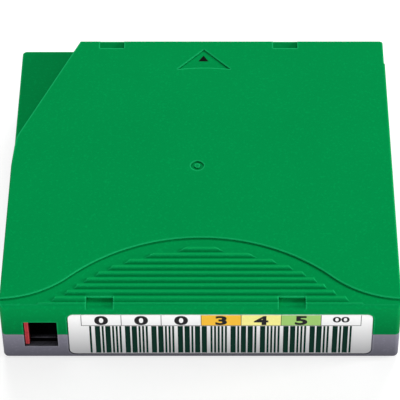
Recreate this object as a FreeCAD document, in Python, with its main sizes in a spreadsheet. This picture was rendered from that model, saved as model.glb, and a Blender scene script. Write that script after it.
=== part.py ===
import FreeCAD, Part
import math
import os
import re
import Sketcher

# A single-reel half-inch data tape cartridge, in millimetres. +Z is up, +Y is the way it is pushed
# into a drive, and the origin is the middle of the underside.

doc = FreeCAD.newDocument("TapeCartridge")
sheet = doc.addObject("Spreadsheet::Sheet", "Sizes")
os.makedirs("parts", exist_ok=True)

sizes = {
    # case
    "case_width": 105.4, "case_depth": 102.0, "case_height": 21.5, "split_height": 9.6,
    "wall": 1.8, "floor_thick": 1.6, "roof_thick": 1.6, "corner_radius": 1.3,
    "top_edge_radius": 0.5, "front_edge_radius": 1.5, "bottom_edge_radius": 1.2,
    # bell shaped step and grip ribs on the top
    "bell_crest": 26.9, "bell_foot": 48.7, "bell_radius": 50.0, "bell_foot_radius": 28.0,
    "step_depth": 0.4, "rib_pitch": 2.19, "rib_first": 29.9, "rib_gap": 4.6, "rib_inset": 1.0,
    "rib_crest_width": 0.3, "rib_slant": 0.4, "rib_lean": 0.55, "rib_end": 0.4,
    # other marks on the top
    "notch_width": 7.0, "notch_depth": 3.2, "notch_spacing": 50.4, "front_sink": 1.1,
    "front_lip": 1.2, "back_sink": 1.1, "back_lip": 0.35,
    "arrow_half_width": 7.7, "arrow_base": 38.9, "arrow_tip": 47.3, "arrow_base_radius": 50.0,
    "arrow_offset": 0.4, "gate_radius": 1.8, "gate_nub_radius": 0.8, "mark_depth": 0.3,
    "side_relief": 0.3, "relief_start": 41.4,
    # guide notch at the back left corner
    "guide_back": 35.5, "guide_side": 51.3, "guide_turn": 12.6, "guide_end": 8.6,
    "guide_end_side": 52.1, "guide_blend": 14.0, "guide_floor": 17.1, "guide_wall": 1.6,
    # reel
    "reel_offset": 1.2, "reel_radius": 48.5, "hub_radius": 22.0, "hub_bore": 20.0,
    "reel_low": 2.4, "flange_thick": 1.2, "flange_edge": 0.9, "flange_taper": 0.1, "tape_space": 13.0,
    "spigot_radius": 21.0, "spigot_height": 1.2, "weld_fit": 0.05, "hub_floor_thick": 1.6,
    "gear_face": 1.5, "gear_opening": 17.0, "gear_boss": 16.2,
    "gear_inner": 12.2, "gear_outer": 15.8, "gear_tooth": 0.9,
    "lock_inner": 16.2, "lock_outer": 18.8, "lock_tooth": 1.0, "lock_gap": 0.1,
    "plate_bore": 4.0, "plate_radius": 11.2, "plate_thick": 0.8,
    "tape_width": 12.65, "tape_pack_radius": 44.5, "tape_sheet": 0.1,
    "rest_rib_gap": 1.0, "rest_rib_wide": 1.5, "rest_play": 0.05,
    "corner_rib_gap": 1.3, "corner_rib_wide": 1.2, "corner_rib_spread": 9.0,
    # brake and release pad
    "brake_radius": 19.2, "brake_thick": 1.5, "brake_edge": 0.4,
    "brake_boss_radius": 5.6, "brake_boss_top": 14.5,
    "socket_floor": 8.0, "cross_reach": 4.0, "cross_width": 2.0, "cross_low": 10.0,
    "cross_play": 0.1, "leg_orbit": 13.8, "leg_radius": 1.2,
    "leg_hole": 1.6, "pad_thick": 0.8, "pad_inset": 0.6, "pad_rim": 0.5, "pad_dome_radius": 2.6,
    "brake_spring_radius": 7.4, "brake_wire": 0.7, "guide_ring_inner": 8.6, "guide_ring_wall": 1.1,
    "guide_ring_height": 2.0,
    # leader pin
    "pin_x": 44.8, "pin_y": 41.5, "pin_low": 1.9, "pin_end_radius": 1.4, "pin_end_length": 0.8,
    "pin_groove_radius": 0.9, "pin_groove_length": 0.5, "pin_flange_radius": 1.9,
    "pin_flange_length": 0.5, "pin_radius": 1.1, "clip_inner": 1.3, "clip_wall": 0.45, "clip_inset": 0.2,
    "stand_radius": 3.0, "seat_inner": 1.5, "seat_wall": 1.0, "seat_depth": 0.9,
    "leaf_thick": 0.25, "leaf_height": 1.0, "leaf_gap": 1.35, "leaf_left": 5.9, "leaf_right": 1.3,
    "leaf_play": 0.1, "arm_out": 2.7, "arm_bend": 3.0, "arm_touch": 1.5, "lip_out": 2.25,
    "lip_drop": 1.3, "post_thick": 1.1, "post_wide": 2.0, "post_drop": 1.0,
    # door
    "door_back": 32.0, "door_thick": 1.2, "door_play": 0.1, "door_gap": 0.2, "groove_depth": 0.6,
    "groove_spare": 0.5,
    "opening_back": 33.5, "opening_front": 48.2, "opening_sill": 1.0, "door_travel": 15.5,
    "tab_reach": 1.7, "tab_length": 1.5, "tab_low": 2.9, "tab_height": 3.0, "tab_inset": 0.4,
    "slit_play": 0.3, "door_seat_reach": 1.1, "door_seat_half": 1.3, "door_seat_length": 2.5,
    "door_spring_x": 49.4, "door_spring_z": 5.2, "door_spring_radius": 0.95, "door_wire": 0.24,
    "door_spring_stop": 6.8, "shaft_radius": 0.55, "shaft_length": 14.0,
    "stop_reach": 3.1, "stop_thick": 1.2, "stop_rise": 1.6,
    # write protect window and slider
    "window_left": 46.8, "window_right": 37.9, "window_low": 4.8, "window_top": 14.5,
    "slider_edge": 45.5, "slider_thick": 1.2, "slider_low": 3.6, "slider_top": 15.7,
    "slider_play": 0.1, "slider_ridge": 1.1, "ridge_play": 0.3, "ridge_sink": 0.6,
    "guide_rib": 1.0, "track_reach": 3.4,
    # label
    "label_left": 35.2, "label_right": 45.6, "label_low": 1.4, "label_top": 17.7,
    "label_radius": 1.9, "label_sink": 0.3, "label_play": 0.3, "label_thick": 0.15,
    # memory board
    "board_left": 34.0, "board_right": 46.0, "board_thick": 0.57, "board_line": 41.3,
    "board_top": 7.85, "board_play": 0.1, "gusset_inset": 1.0, "gusset_thick": 1.2,
    "toe_thick": 0.9, "toe_height": 0.4, "chip_size": 3.0, "chip_thick": 0.35,
    # screws and datum holes
    "rear_left_screw_x": 46.5, "rear_left_screw_y": 45.0, "rear_right_screw_x": 34.5,
    "rear_right_screw_y": 46.9, "front_screw_x": 48.1, "front_right_screw_y": 34.5,
    "front_left_screw_y": 38.0, "boss_radius": 2.9, "screw_radius": 1.0,
    "screw_head_radius": 2.1, "screw_head": 1.5,
    "screw_seat": 2.6, "screw_end": 14.4, "counterbore_radius": 2.5, "screw_clear": 0.05,
    "hole_clear": 0.2, "pilot_spare": 0.4, "driver_web": 0.3, "driver_depth": 0.8,
    "datum_x": 39.5, "datum_y": 40.0, "slot_x": 39.3, "slot_y": 37.6,
    "datum_radius": 2.3, "datum_depth": 3.0, "datum_slot": 0.8, "datum_wall": 1.2,
    "grip_length": 6.5, "grip_height": 7.0, "grip_sink": 1.0, "grip_back": 24.0,
}

formulas = {
    "half_width": "(case_width/2)",
    "half_depth": "(case_depth/2)",
    "inner_x": "(case_width/2 - wall)",
    "inner_y": "(case_depth/2 - wall)",
    "ceiling": "(case_height - roof_thick)",
    "stepped": "(case_height - step_depth)",
    "bell_centre": "(0 - bell_crest - bell_radius)",
    "foot_centre": "(bell_foot_radius - bell_foot)",
    "bell_sum": "(bell_radius + bell_foot_radius)",
    "foot_x": "(sqrt(bell_sum^2 - (foot_centre - bell_centre)^2))",
    "bell_share": "(bell_radius/bell_sum)",
    "guide_slope": "((guide_side - guide_back)/(case_depth/2 - guide_turn))",
    "guide_inner_y": "(case_depth/2 - (inner_x + guide_wall - guide_back)/guide_slope)",
    "guide_inner_x": "(0 - guide_back - wall*guide_slope + guide_wall)",
    "axis_x": "(0 - reel_offset)",
    "tape_low": "(reel_low + flange_thick)",
    "tape_top": "(reel_low + flange_thick + tape_space)",
    "tape_edge": "(tape_low + (tape_space - tape_width)/2)",
    "hub_floor": "(reel_low + hub_floor_thick)",
    "lock_face": "(hub_floor + lock_tooth + lock_gap)",
    "brake_top": "(lock_face + brake_thick)",
    "pin_top": "(2*tape_low + tape_space - pin_low)",
    "wall_groove": "(inner_x - door_gap - door_thick)",
    "door_outer": "(inner_x - door_gap)",
    "slider_front": "(0 - inner_y + slider_play)",
    "slider_back": "(0 - inner_y + slider_play + slider_thick)",
    "label_floor": "(0 - half_depth + label_sink)",
}

# Counts and turns, and lengths that only make sure of an overlap: a cut runs on past the face
# that it starts from by overrun, and an added form starts inside what carries it by a root.
ribs = 10
teeth = 60
half_tooth = 180 / teeth
leg_turns = (90, 210, 330)
clip_start = 175
clip_turn = 80
overrun = 1
root = 0.5
fine_root = 0.05
lap = 0.2

for row, (name, number) in enumerate(sizes.items(), start=1):
    sheet.set(f"A{row}", name)
    sheet.set(f"B{row}", str(number))
    sheet.setAlias(f"B{row}", name)
doc.recompute()


def bound(text):
    """Turn a short formula of size names into an expression on the sheet."""
    def swap(word):
        if word[0] in formulas:
            return re.sub(r"[a-z_]{3,}", swap, formulas[word[0]])
        return "Sizes." + word[0] if word[0] in sizes else word[0]
    return re.sub(r"[a-z_]{3,}", swap, str(text))


def value(text):
    return float(sheet.evalExpression(bound(text)))


def set_size(feature, prop, text):
    feature.setExpression(prop, bound(text))


def new_body(label):
    body = doc.addObject("PartDesign::Body", label)
    body.Label = label
    return body


def origin_part(body, role):
    return next(item for item in body.Origin.OriginFeatures if item.Role == role)


def sketch_on(body, name, role, offset):
    sketch = body.newObject("Sketcher::SketchObject", name)
    sketch.AttachmentSupport = [(origin_part(body, role), "")]
    sketch.MapMode = "FlatFace"
    set_size(sketch, "AttachmentOffset.Base.z", offset)
    return sketch


def flat(body, name, height):
    return sketch_on(body, name, "XY_Plane", height)


def fix(sketch, kind, where, text):
    index = sketch.addConstraint(Sketcher.Constraint(kind, *where, value(text)))
    sketch.setExpression(f"Constraints[{index}]", bound(text))


def arc_between(start, end, radius, side):
    """The shorter arc from start to end; side +1 turns left, -1 turns right."""
    chord = end - start
    reach = math.sqrt(max(radius**2 - (chord.Length / 2)**2, 0.0))
    across = FreeCAD.Vector(-chord.y, chord.x, 0).normalize() * reach * side
    centre = (start + end) / 2 + across
    circle = Part.Circle(centre, FreeCAD.Vector(0, 0, 1), radius)
    ends = (start, end) if side > 0 else (end, start)
    return Part.ArcOfCircle(circle, circle.parameter(ends[0]), circle.parameter(ends[1]))


def loop(sketch, corners):
    """Closed outline of (x, y) corners; (x, y, radius, side) starts an arc to the next corner."""
    spots = [FreeCAD.Vector(value(corner[0]), value(corner[1]), 0) for corner in corners]
    first = sketch.GeometryCount
    count = len(corners)
    turned = []
    for index, corner in enumerate(corners):
        end = spots[(index + 1) % count]
        if len(corner) == 4:
            sketch.addGeometry(arc_between(spots[index], end, value(corner[2]), corner[3]), False)
            turned.append(corner[3] < 0)
        else:
            sketch.addGeometry(Part.LineSegment(spots[index], end), False)
            turned.append(False)
    for index, corner in enumerate(corners):
        begin, finish = (2, 1) if turned[index] else (1, 2)
        following = (index + 1) % count
        after = 2 if turned[following] else 1
        sketch.addConstraint(
            Sketcher.Constraint("Coincident", first + index, finish, first + following, after))
        fix(sketch, "DistanceX", (-1, 1, first + index, begin), corner[0])
        fix(sketch, "DistanceY", (-1, 1, first + index, begin), corner[1])
        if len(corner) == 4:
            fix(sketch, "Radius", (first + index,), corner[2])
    return sketch


def box_loop(sketch, left, right, low, high):
    return loop(sketch, [(left, low), (right, low), (right, high), (left, high)])


def round_box_loop(sketch, left, right, low, high, radius):
    arc = (radius, 1)
    return loop(sketch, [
        (f"{left} + {radius}", low), (f"{right} - {radius}", low, *arc),
        (right, f"{low} + {radius}"), (right, f"{high} - {radius}", *arc),
        (f"{right} - {radius}", high), (f"{left} + {radius}", high, *arc),
        (left, f"{high} - {radius}"), (left, f"{low} + {radius}", *arc)])


def circle(sketch, x, y, radius):
    centre = FreeCAD.Vector(value(x), value(y), 0)
    index = sketch.addGeometry(
        Part.Circle(centre, FreeCAD.Vector(0, 0, 1), value(radius)), False)
    fix(sketch, "Radius", (index,), radius)
    fix(sketch, "DistanceX", (-1, 1, index, 3), x)
    fix(sketch, "DistanceY", (-1, 1, index, 3), y)
    return sketch


def ring(sketch, x, y, inner, outer):
    circle(sketch, x, y, outer)
    return circle(sketch, x, y, inner)


def feature(body, kind, name, sketch, length, turned=False, symmetric=False):
    made = body.newObject(f"PartDesign::{kind}", name)
    made.Profile = sketch
    made.Reversed = turned
    made.Midplane = symmetric
    set_size(made, "Length", length)
    doc.recompute()
    return made


def pad(body, name, sketch, length, **how):
    return feature(body, "Pad", name, sketch, length, **how)


def cut_up(body, name, sketch, length):
    before = body.Shape.Volume
    made = feature(body, "Pocket", name, sketch, length, turned=True)
    if body.Shape.Volume > before - 1e-6:
        raise RuntimeError(f"{name} cuts nothing")
    return made


def round_edges(body, name, radius, chosen):
    base = body.Tip
    picked = [f"Edge{n}" for n, edge in enumerate(base.Shape.Edges, start=1) if chosen(edge)]
    made = body.newObject("PartDesign::Fillet", name)
    made.Base = (base, picked)
    set_size(made, "Radius", radius)
    doc.recompute()
    return made


def at_height(height):
    def test(edge):
        return abs(edge.BoundBox.ZMin - height) < 0.01 and abs(edge.BoundBox.ZMax - height) < 0.01
    return test


def revolve(body, name, corners):
    """Revolve an outline of (radius, height) corners round the body's own Z axis."""
    sketch = loop(sketch_on(body, name + "_profile", "XZ_Plane", 0), corners)
    made = body.newObject("PartDesign::Revolution", name)
    made.Profile = sketch
    made.ReferenceAxis = (origin_part(body, "Z_Axis"), [""])
    made.Angle = 360
    doc.recompute()
    return made


def tooth_ring(body, name, inner, outer, base_level, tip_level):
    """A ring of face-gear teeth: one lofted tooth, repeated round the Z axis."""
    half_base, half_tip = "(0.52*pi*{0}/{1})", "(0.25*pi*{0}/{1})"
    ends = []
    for label, radius in (("in", inner), ("out", outer)):
        sketch = sketch_on(body, f"{name}_{label}", "YZ_Plane", radius)
        base, narrow = half_base.format(radius, teeth), half_tip.format(radius, teeth)
        ends.append(loop(sketch, [
            (f"0 - {base}", base_level), (base, base_level),
            (narrow, tip_level), (f"0 - {narrow}", tip_level)]))
    tooth = body.newObject("PartDesign::AdditiveLoft", name)
    tooth.Profile = ends[0]
    tooth.Sections = [ends[1]]
    tooth.Ruled = True
    doc.recompute()
    around = body.newObject("PartDesign::PolarPattern", name + "_ring")
    around.Originals = [tooth]
    around.Axis = (origin_part(body, "Z_Axis"), [""])
    around.Angle = 360
    around.Occurrences = teeth
    body.Tip = around
    doc.recompute()


def on_reel_axis(body, turn=0):
    body.Placement.Rotation = FreeCAD.Rotation(FreeCAD.Vector(0, 0, 1), turn)
    set_size(body, "Placement.Base.x", "axis_x")
    doc.recompute()


def corner_rib(body, index, middle, low, length):
    """A rib in a corner, curved round the reel to both sides of the middle bearing."""
    inner = "(reel_radius + corner_rib_gap)"
    outer = "(reel_radius + corner_rib_gap + corner_rib_wide)"

    def spot(radius, side):
        angle = f"({middle} + {side}*corner_rib_spread)"
        return f"axis_x + {radius}*cos({angle})", f"{radius}*sin({angle})"
    outline = loop(flat(body, f"corner_rib_{index}_plan", low), [
        spot(inner, -1), (*spot(outer, -1), outer, 1), spot(outer, 1), (*spot(inner, 1), inner, -1)])
    pad(body, f"corner_rib_{index}", outline, length)


def bell_outline(sketch):
    """The step's bell curve as three tangent arcs, closed outside the label edge."""
    turn_x = "foot_x*bell_share"
    turn_y = "bell_centre + (foot_centre - bell_centre)*bell_share"
    return loop(sketch, [
        ("foot_x", "0 - bell_foot", "bell_foot_radius", -1),
        (turn_x, turn_y, "bell_radius", 1),
        (f"0 - {turn_x}", turn_y, "bell_foot_radius", -1),
        ("0 - foot_x", "0 - bell_foot"),
        ("0 - foot_x", f"0 - half_depth - {overrun}"), ("foot_x", f"0 - half_depth - {overrun}")])


def bell_half_width(depth):
    """Half width of the bell curve at a distance in front of the reel axis."""
    upper = f"sqrt(max(bell_radius^2 - ({depth} - rib_gap - bell_crest - bell_radius)^2; 0.01))"
    lower = f"(foot_x - sqrt(bell_foot_radius^2 - ({depth} - rib_gap + foot_centre)^2))"
    turn = "(0 - bell_centre - (foot_centre - bell_centre)*bell_share)"
    return f"(({depth} - rib_gap < {turn} ? {upper} : {lower}) - rib_inset)"


def rib_ends(index):
    """Front and back half widths and edges of one grip rib."""
    back = f"(rib_first + {index}*rib_pitch)"
    front = f"(rib_first + {index + 1}*rib_pitch)"
    wide = bell_half_width(front)
    narrow = f"({wide} - rib_slant*({wide} - {bell_half_width(back)}))" if index else f"({wide}/2)"
    return back, front, narrow, wide


def grip_ribs(body):
    """Ridges that rise from the stepped surface to the level of the top, hipped at both ends."""
    for index in range(ribs):
        back, front, narrow, wide = rib_ends(index)
        crest = f"({back} + rib_pitch*rib_lean)"
        middle = f"({narrow} + ({wide} - {narrow})*rib_lean - rib_end)"
        foot = loop(flat(body, f"rib_{index}_foot", f"stepped - {fine_root}"), [
            (f"0 - {wide}", f"0 - {front}"), (wide, f"0 - {front}"),
            (narrow, f"0 - {back}"), (f"0 - {narrow}", f"0 - {back}")])
        top = loop(flat(body, f"rib_{index}_top", "case_height"), [
            (f"0 - {middle}", f"0 - {crest} - rib_crest_width/2"),
            (middle, f"0 - {crest} - rib_crest_width/2"),
            (middle, f"0 - {crest} + rib_crest_width/2"),
            (f"0 - {middle}", f"0 - {crest} + rib_crest_width/2")])
        ridge = body.newObject("PartDesign::AdditiveLoft", f"rib_{index}")
        ridge.Profile = foot
        ridge.Sections = [top]
        ridge.Ruled = True
        doc.recompute()


def front_edge(body):
    """Round the long top edge over the label face."""
    edge, radius = "0 - half_depth", "front_edge_radius"
    outline = loop(sketch_on(body, "front_edge_profile", "YZ_Plane", 0), [
        (edge, f"case_height - {radius}", radius, -1), (f"{edge} + {radius}", "case_height"),
        (f"{edge} + {radius}", f"case_height + {overrun}"),
        (f"{edge} - {overrun}", f"case_height + {overrun}"),
        (f"{edge} - {overrun}", f"case_height - {radius}")])
    feature(body, "Pocket", "front_edge", outline, f"case_width + {overrun}", symmetric=True)


def loader_notches(body):
    """Pockets in both long edges: the front pair breaks over the label face, and the floor of
    the back pair is a ramp that is deepest at its inner end."""
    above = f"case_height + {overrun}"
    inner = "(half_depth - notch_depth)"
    for name, side in (("left", -1), ("right", 1)):
        start = f"axis_x + {side}*notch_spacing/2 - notch_width/2"
        front = loop(sketch_on(body, f"front_notch_{name}_profile", "YZ_Plane", start), [
            (f"0 - {inner}", above), (f"0 - half_depth - {overrun}", above),
            (f"0 - half_depth - {overrun}", "case_height - front_sink - front_lip"),
            ("0 - half_depth", "case_height - front_sink - front_lip", "front_lip", -1),
            ("0 - half_depth + front_lip", "case_height - front_sink"),
            (f"0 - {inner}", "case_height - front_sink")])
        cut_up(body, f"front_notch_{name}", front, "notch_width")
        back = loop(sketch_on(body, f"back_notch_{name}_profile", "YZ_Plane", start), [
            (inner, above), (inner, "case_height - back_sink"),
            ("half_depth", "case_height - back_lip"),
            (f"half_depth + {overrun}", "case_height - back_lip"),
            (f"half_depth + {overrun}", above)])
        cut_up(body, f"back_notch_{name}", back, "notch_width")


def top_marks(body):
    """The insertion arrow and the dimple left by the mould's gate."""
    arrow = loop(flat(body, "arrow_plan", "case_height - mark_depth"), [
        ("arrow_offset + arrow_half_width", "arrow_base"), ("arrow_offset", "arrow_tip"),
        ("arrow_offset - arrow_half_width", "arrow_base", "arrow_base_radius", -1)])
    cut_up(body, "arrow", arrow, overrun)
    gate = flat(body, "gate_plan", "case_height - mark_depth")
    ring(gate, "axis_x", 0, "gate_nub_radius", "gate_radius")
    cut_up(body, "gate_mark", gate, overrun)


def side_relief(body, low, length):
    """A slight step in the door side, from just behind the door's front edge to the back."""
    plan = flat(body, "relief_plan", low)
    box_loop(plan, "half_width - side_relief", f"half_width + {overrun}",
             "relief_start", f"half_depth + {overrun}")
    cut_up(body, "side_relief", plan, length)


def guide_notch(body):
    """The stepped-down corner that lets the cartridge in only one way round."""
    slant_x = f"0 - guide_back + {overrun}*guide_slope"
    outside = f"0 - half_width - {overrun}"
    outline = loop(flat(body, "guide_plan", "guide_floor"), [
        (slant_x, f"half_depth + {overrun}"), (outside, f"half_depth + {overrun}"),
        (outside, 0), ("0 - half_width", 0),
        ("0 - guide_end_side", "guide_end", "guide_blend", -1),
        ("0 - guide_side", "guide_turn")])
    cut_up(body, "guide_notch", outline, f"case_height - guide_floor + {overrun}")


screw_places = [
    ("0 - rear_left_screw_x", "rear_left_screw_y"), ("rear_right_screw_x", "rear_right_screw_y"),
    ("front_screw_x", "0 - front_right_screw_y"), ("0 - front_screw_x", "0 - front_left_screw_y")]


def label_recess(body):
    """The sunk field for the label; each shell takes its share of it."""
    sunk = sketch_on(body, "label_plan", "XZ_Plane", "0 - label_floor")
    round_box_loop(sunk, "0 - label_left", "label_right", "label_low", "label_top", "label_radius")
    cut_up(body, "label_recess", sunk, overrun)


def window(body):
    """The write-protect window, through the wall and the guide rib behind the slider."""
    opening = flat(body, "window_plan", "window_low")
    box_loop(opening, "0 - window_left", "0 - window_right", f"0 - half_depth - {overrun}",
             f"slider_back + slider_play + guide_rib + {fine_root}")
    cut_up(body, "window", opening, "window_top - window_low")


def make_upper_shell():
    body = new_body("upper_shell")
    outline = flat(body, "outline", "split_height")
    round_box_loop(outline, "0 - half_width", "half_width", "0 - half_depth", "half_depth",
                   "corner_radius")
    pad(body, "block", outline, "case_height - split_height")
    round_edges(body, "top_edges", "top_edge_radius", at_height(value("case_height")))
    hollow = loop(flat(body, "hollow_plan", "split_height"), [
        ("0 - inner_x", "0 - inner_y"), ("inner_x", "0 - inner_y"), ("inner_x", "inner_y"),
        ("guide_inner_x", "inner_y"), ("0 - inner_x", "guide_inner_y")])
    cut_up(body, "hollow", hollow, "ceiling - split_height")
    corner = loop(flat(body, "guide_hollow_plan", "split_height"), [
        ("guide_inner_x", "inner_y"), ("0 - inner_x", "inner_y"), ("0 - inner_x", "guide_inner_y")])
    cut_up(body, "guide_hollow", corner, "guide_floor - roof_thick - split_height")
    door_ways(body, "split_height", "ceiling - opening_sill")

    tubes = flat(body, "boss_plan", "split_height")
    for x, y in screw_places[1:]:
        circle(tubes, x, y, "boss_radius")
    pad(body, "bosses", tubes, "ceiling + roof_thick/2 - split_height")
    low_boss = circle(flat(body, "guide_boss_plan", "split_height"), *screw_places[0], "boss_radius")
    pad(body, "guide_boss", low_boss, "guide_floor - roof_thick/2 - split_height")
    pilots = flat(body, "pilot_plan", "split_height")
    for x, y in screw_places:
        circle(pilots, x, y, "screw_radius + screw_clear")
    cut_up(body, "pilots", pilots, "screw_end + pilot_spare - split_height")

    roof_ribs(body)
    door_groove(body, f"ceiling - {lap}", f"groove_depth + {lap}")
    pin_stand(body, "pin_top - seat_depth", f"ceiling + {root}", "pin_top", f"ceiling + {root}")
    slider_track(body, "split_height", f"ceiling + {root}", "slider_top + slider_play",
                 f"ceiling + {root}")
    window(body)
    for index, middle in enumerate((225, 315)):
        corner_rib(body, index, middle, "split_height", f"ceiling + {root} - split_height")

    label_recess(body)
    guide_notch(body)
    cut_up(body, "bell_step", bell_outline(flat(body, "bell_plan", "stepped")), 1)
    grip_ribs(body)
    front_edge(body)
    loader_notches(body)
    top_marks(body)
    side_relief(body, "split_height", "case_height - split_height")
    return body


def roof_ribs(body):
    """The cross rib that keys the brake, and the ring that holds its spring."""
    near, far = "cross_width/2", "cross_reach"
    corners = [(near, near), (near, far), (f"0 - {near}", far), (f"0 - {near}", near),
               (f"0 - {far}", near), (f"0 - {far}", f"0 - {near}"),
               (f"0 - {near}", f"0 - {near}"), (f"0 - {near}", f"0 - {far}"),
               (near, f"0 - {far}"), (near, f"0 - {near}"), (far, f"0 - {near}"), (far, near)]
    cross = loop(flat(body, "cross_plan", "cross_low"), [(f"axis_x + {x}", y) for x, y in corners])
    pad(body, "cross_rib", cross, f"ceiling + {root} - cross_low")
    guide = flat(body, "spring_ring_plan", "ceiling - guide_ring_height")
    ring(guide, "axis_x", 0, "guide_ring_inner", "guide_ring_inner + guide_ring_wall")
    pad(body, "spring_ring", guide, f"guide_ring_height + {root}")


def pin_stand(body, wall_low, wall_high, face_low, face_high):
    """Where an end of the leader pin rests: a pad and a C-shaped wall open towards the door."""
    base = circle(flat(body, "stand_plan", face_low), "pin_x", "pin_y", "stand_radius")
    pad(body, "stand", base, f"{face_high} - ({face_low})")
    inner, outer = "seat_inner", "(seat_inner + seat_wall)"
    seat = loop(flat(body, "seat_plan", wall_low), [
        ("pin_x", f"pin_y + {inner}"), ("pin_x", f"pin_y + {outer}", outer, 1),
        (f"pin_x - {outer}", "pin_y", outer, 1), ("pin_x", f"pin_y - {outer}"),
        ("pin_x", f"pin_y - {inner}", inner, -1), (f"pin_x - {inner}", "pin_y", inner, -1)])
    pad(body, "seat", seat, f"{wall_high} - ({wall_low})")


def slider_track(body, wall_low, wall_high, sill_low, sill_high):
    """The rib behind the write-protect slider and the sill it runs along."""
    guide = flat(body, "track_plan", wall_low)
    back = "slider_back + slider_play"
    outer, inner = f"0 - inner_x - {root}", "0 - window_right + track_reach"
    box_loop(guide, outer, inner, back, f"{back} + guide_rib")
    pad(body, "track", guide, f"{wall_high} - ({wall_low})")
    sill = flat(body, "sill_plan", sill_low)
    box_loop(sill, outer, inner, f"0 - inner_y - {root}", f"{back} + {root}")
    pad(body, "sill", sill, f"{sill_high} - ({sill_low})")


def door_ways(body, low, high):
    """The opening that the leader pin leaves by."""
    gap = flat(body, "opening_plan", low)
    box_loop(gap, f"inner_x - {root}", f"half_width + {overrun}", "opening_back", "opening_front")
    cut_up(body, "opening", gap, f"{high} - ({low})")


def door_groove(body, low, length):
    """The groove that guides one edge of the door as it slides."""
    groove = flat(body, "groove_plan", low)
    box_loop(groove, "wall_groove - door_play", "door_outer + door_play",
             "door_back - door_travel - groove_spare", "inner_y")
    cut_up(body, "groove", groove, length)


def make_lower_shell():
    body = new_body("lower_shell")
    outline = flat(body, "outline", 0)
    round_box_loop(outline, "0 - half_width", "half_width", "0 - half_depth", "half_depth",
                   "corner_radius")
    pad(body, "block", outline, "split_height")
    round_edges(body, "bottom_edges", "bottom_edge_radius", at_height(0))
    hollow = flat(body, "hollow_plan", "floor_thick")
    box_loop(hollow, "0 - inner_x", "inner_x", "0 - inner_y", "inner_y")
    cut_up(body, "hollow", hollow, "split_height")
    label_recess(body)
    door_ways(body, "floor_thick + opening_sill", f"split_height + {overrun}")
    slit = flat(body, "slit_plan", "tab_low - slit_play")
    tab_rear = "opening_front - tab_inset - tab_length - door_travel - slit_play"
    box_loop(slit, f"inner_x - {root}", f"half_width + {overrun}", tab_rear, f"opening_back + {lap}")
    cut_up(body, "tab_slit", slit, "tab_height + 2*slit_play")

    tubes = flat(body, "boss_plan", "floor_thick/2")
    for x, y in screw_places:
        circle(tubes, x, y, "boss_radius")
    circle(tubes, "0 - datum_x", "datum_y", "datum_radius + datum_wall")
    pad(body, "screw_bosses", tubes, "split_height - floor_thick/2")
    datum_holes(body)
    for name, radius, top in (("counterbores", "counterbore_radius", "screw_seat"),
                              ("screw_holes", "screw_radius + hole_clear", "split_height")):
        holes = flat(body, name + "_plan", f"0 - {overrun}")
        for x, y in screw_places:
            circle(holes, x, y, radius)
        cut_up(body, name, holes, f"{top} + {overrun}")

    rest_inner = "(gear_opening + rest_rib_gap)"
    rest = ring(flat(body, "rest_plan", "floor_thick/2"), "axis_x", 0,
                rest_inner, f"{rest_inner} + rest_rib_wide")
    pad(body, "rest_rib", rest, "reel_low - rest_play - floor_thick/2")
    opening = circle(flat(body, "gear_opening_plan", f"0 - {overrun}"), "axis_x", 0, "gear_opening")
    cut_up(body, "gear_opening", opening, f"floor_thick + {overrun}")
    pin_stand(body, "floor_thick/2", "pin_low + seat_depth", "floor_thick/2", "pin_low")
    slider_track(body, "floor_thick/2", "split_height", "floor_thick/2", "slider_low - slider_play/2")
    window(body)
    door_groove(body, "floor_thick - groove_depth", f"groove_depth + {lap}")
    inner_posts(body)
    board_rest(body)
    for index, middle in enumerate((135, 225, 315)):
        corner_rib(body, index, middle, "floor_thick/2", "split_height - floor_thick/2")
    loader_grips(body)
    side_relief(body, f"0 - {overrun}", f"split_height + {overrun}")
    return body


def loader_grips(body):
    """A pocket low in each side, for a loader's fingers."""
    grips = flat(body, "grip_plan", f"0 - {overrun}")
    for side in ("0 - half_width", "half_width"):
        box_loop(grips, f"{side} - grip_sink", f"{side} + grip_sink",
                 "0 - grip_back - grip_length", "0 - grip_back")
    cut_up(body, "loader_grips", grips, f"grip_height + {overrun}")


def datum_holes(body):
    """A round hole and a slotted one that locate the cartridge on the drive's pins."""
    place = ("slot_x", "slot_y", "datum_slot")
    base = slot_loop(flat(body, "slot_boss_plan", "floor_thick/2"), *place,
                     "(datum_radius + datum_wall)")
    pad(body, "slot_boss", base, "datum_depth + datum_wall - floor_thick/2")
    holes = flat(body, "datum_plan", f"0 - {overrun}")
    circle(holes, "0 - datum_x", "datum_y", "datum_radius")
    slot_loop(holes, *place, "datum_radius")
    cut_up(body, "datum_holes", holes, f"datum_depth + {overrun}")


def slot_loop(sketch, x, y, half, radius):
    return loop(sketch, [
        (f"{x} - {half}", f"{y} - {radius}"), (f"{x} + {half}", f"{y} - {radius}", radius, 1),
        (f"{x} + {half} + {radius}", y, radius, 1), (f"{x} + {half}", f"{y} + {radius}"),
        (f"{x} - {half}", f"{y} + {radius}", radius, 1),
        (f"{x} - {half} - {radius}", y, radius, 1)])


def inner_posts(body):
    """Posts that hold the leaf spring's base, and the rib that the door spring pushes on."""
    low = "floor_thick/2"
    posts = flat(body, "post_plan", low)
    box_loop(posts, "pin_x - leaf_left - leaf_play", "pin_x - leaf_right - leaf_play",
             "inner_y - leaf_gap + leaf_play/2", f"inner_y + {root}")
    middle = "pin_x - (leaf_left + leaf_right)/2"
    face = "(inner_y - leaf_gap - leaf_thick - leaf_play)"
    box_loop(posts, f"{middle} - post_wide/2", f"{middle} + post_wide/2", f"{face} - post_thick", face)
    pad(body, "leaf_posts", posts, f"split_height - post_drop - {low}")
    stop = flat(body, "stop_plan", low)
    box_loop(stop, "inner_x - stop_reach", f"inner_x + {root}",
             "0 - door_spring_stop - stop_thick", "0 - door_spring_stop")
    pad(body, "spring_stop", stop, f"door_spring_z + stop_rise - {low}")


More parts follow.
